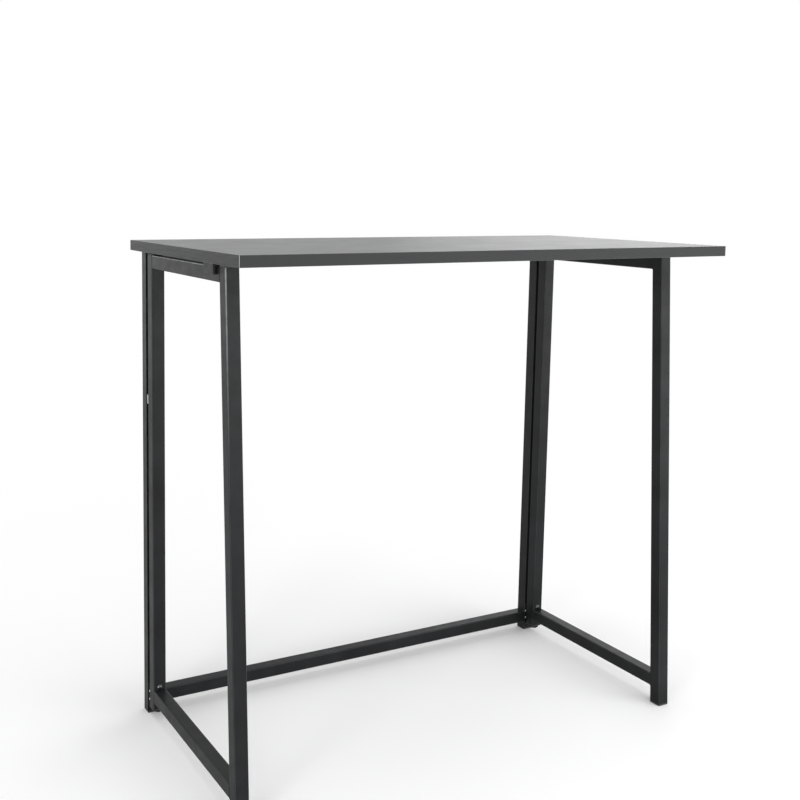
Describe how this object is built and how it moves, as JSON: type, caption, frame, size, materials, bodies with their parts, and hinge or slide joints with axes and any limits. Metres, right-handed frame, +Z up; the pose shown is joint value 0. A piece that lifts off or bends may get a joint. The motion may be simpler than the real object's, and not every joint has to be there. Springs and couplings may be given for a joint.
{
  "type": "folding desk",
  "caption": "Compact desk on a steel tube frame: the side frames swing in flat against the rear frame and the hinged board lifts clear.",
  "frame": {"origin": "on the floor under the middle of the desk's outline", "axes": "+X to the sitter's right along the desktop's length, +Y from the sitter towards the rear frame, +Z up"},
  "size_m": [0.8, 0.407, 0.74],
  "materials": {
    "frame_paint": "satin black powder coat on steel tube",
    "laminate_board": "dark grey melamine on particle board, satin",
    "edge_band": "dark grey plastic edge band, satin",
    "black_plastic": "black moulded plastic, matt",
    "stop_pad": "grey rubber, matt",
    "zinc_fastener": "bright zinc plate",
    "black_fastener": "black oxide and black paint, satin"
  },
  "bodies": {
    "back_frame": {"back_post_left": "frame_paint", "back_post_right": "frame_paint", "back_top_rail": "frame_paint", "back_bottom_rail": "frame_paint", "back_foot_left": "black_plastic", "back_foot_right": "black_plastic", "pivot_plate_left": "frame_paint", "pivot_plate_right": "frame_paint", "pivot_bracket_left": "frame_paint", "pivot_bracket_right": "frame_paint", "bracket_rivets": "zinc_fastener", "pivot_washers": "black_plastic", "upper_pivot_pin_left": "black_fastener", "upper_pivot_pin_right": "black_fastener", "lower_pivot_bolt_left": "black_fastener", "lower_pivot_bolt_right": "black_fastener", "rail_hinge_leaf_left": "black_fastener", "rail_hinge_leaf_right": "black_fastener", "hinge_pin_left": "zinc_fastener", "hinge_pin_right": "zinc_fastener", "rail_hinge_screws": "black_fastener"},
    "left_side_frame": {"rear_post_left": "frame_paint", "front_leg_left": "frame_paint", "top_rail_left": "frame_paint", "bottom_rail_left": "frame_paint", "upper_pivot_insert_left": "black_plastic", "lower_pivot_insert_left": "black_plastic", "insert_screw_left": "black_fastener", "stop_pad_left": "stop_pad", "leg_cap_left": "black_plastic", "front_foot_left": "black_plastic"},
    "right_side_frame": {"rear_post_right": "frame_paint", "front_leg_right": "frame_paint", "top_rail_right": "frame_paint", "bottom_rail_right": "frame_paint", "upper_pivot_insert_right": "black_plastic", "lower_pivot_insert_right": "black_plastic", "insert_screw_right": "black_fastener", "stop_pad_right": "stop_pad", "leg_cap_right": "black_plastic", "front_foot_right": "black_plastic"},
    "desktop": {"desktop_board": "laminate_board", "edge_band_front": "edge_band", "edge_band_back": "edge_band", "edge_band_left": "edge_band", "edge_band_right": "edge_band", "clip_left": "black_plastic", "clip_right": "black_plastic", "clip_screws": "black_fastener", "board_hinge_leaf_left": "black_fastener", "board_hinge_leaf_right": "black_fastener", "board_hinge_screws": "black_fastener"}
  },
  "joints": [
    {"name": "left_frame_fold", "type": "hinge", "parent": "back_frame", "child": "left_side_frame", "pos_m": [-0.37, 0.1675, 0.37], "axis": [0, 0, 1], "range_deg": [0, 90]},
    {"name": "right_frame_fold", "type": "hinge", "parent": "back_frame", "child": "right_side_frame", "pos_m": [0.37, 0.1675, 0.37], "axis": [0, 0, -1], "range_deg": [0, 90]},
    {"name": "desktop_lift", "type": "hinge", "parent": "back_frame", "child": "desktop", "pos_m": [0, 0.2, 0.722], "axis": [-1, 0, 0], "range_deg": [0, 90]}
  ]
}
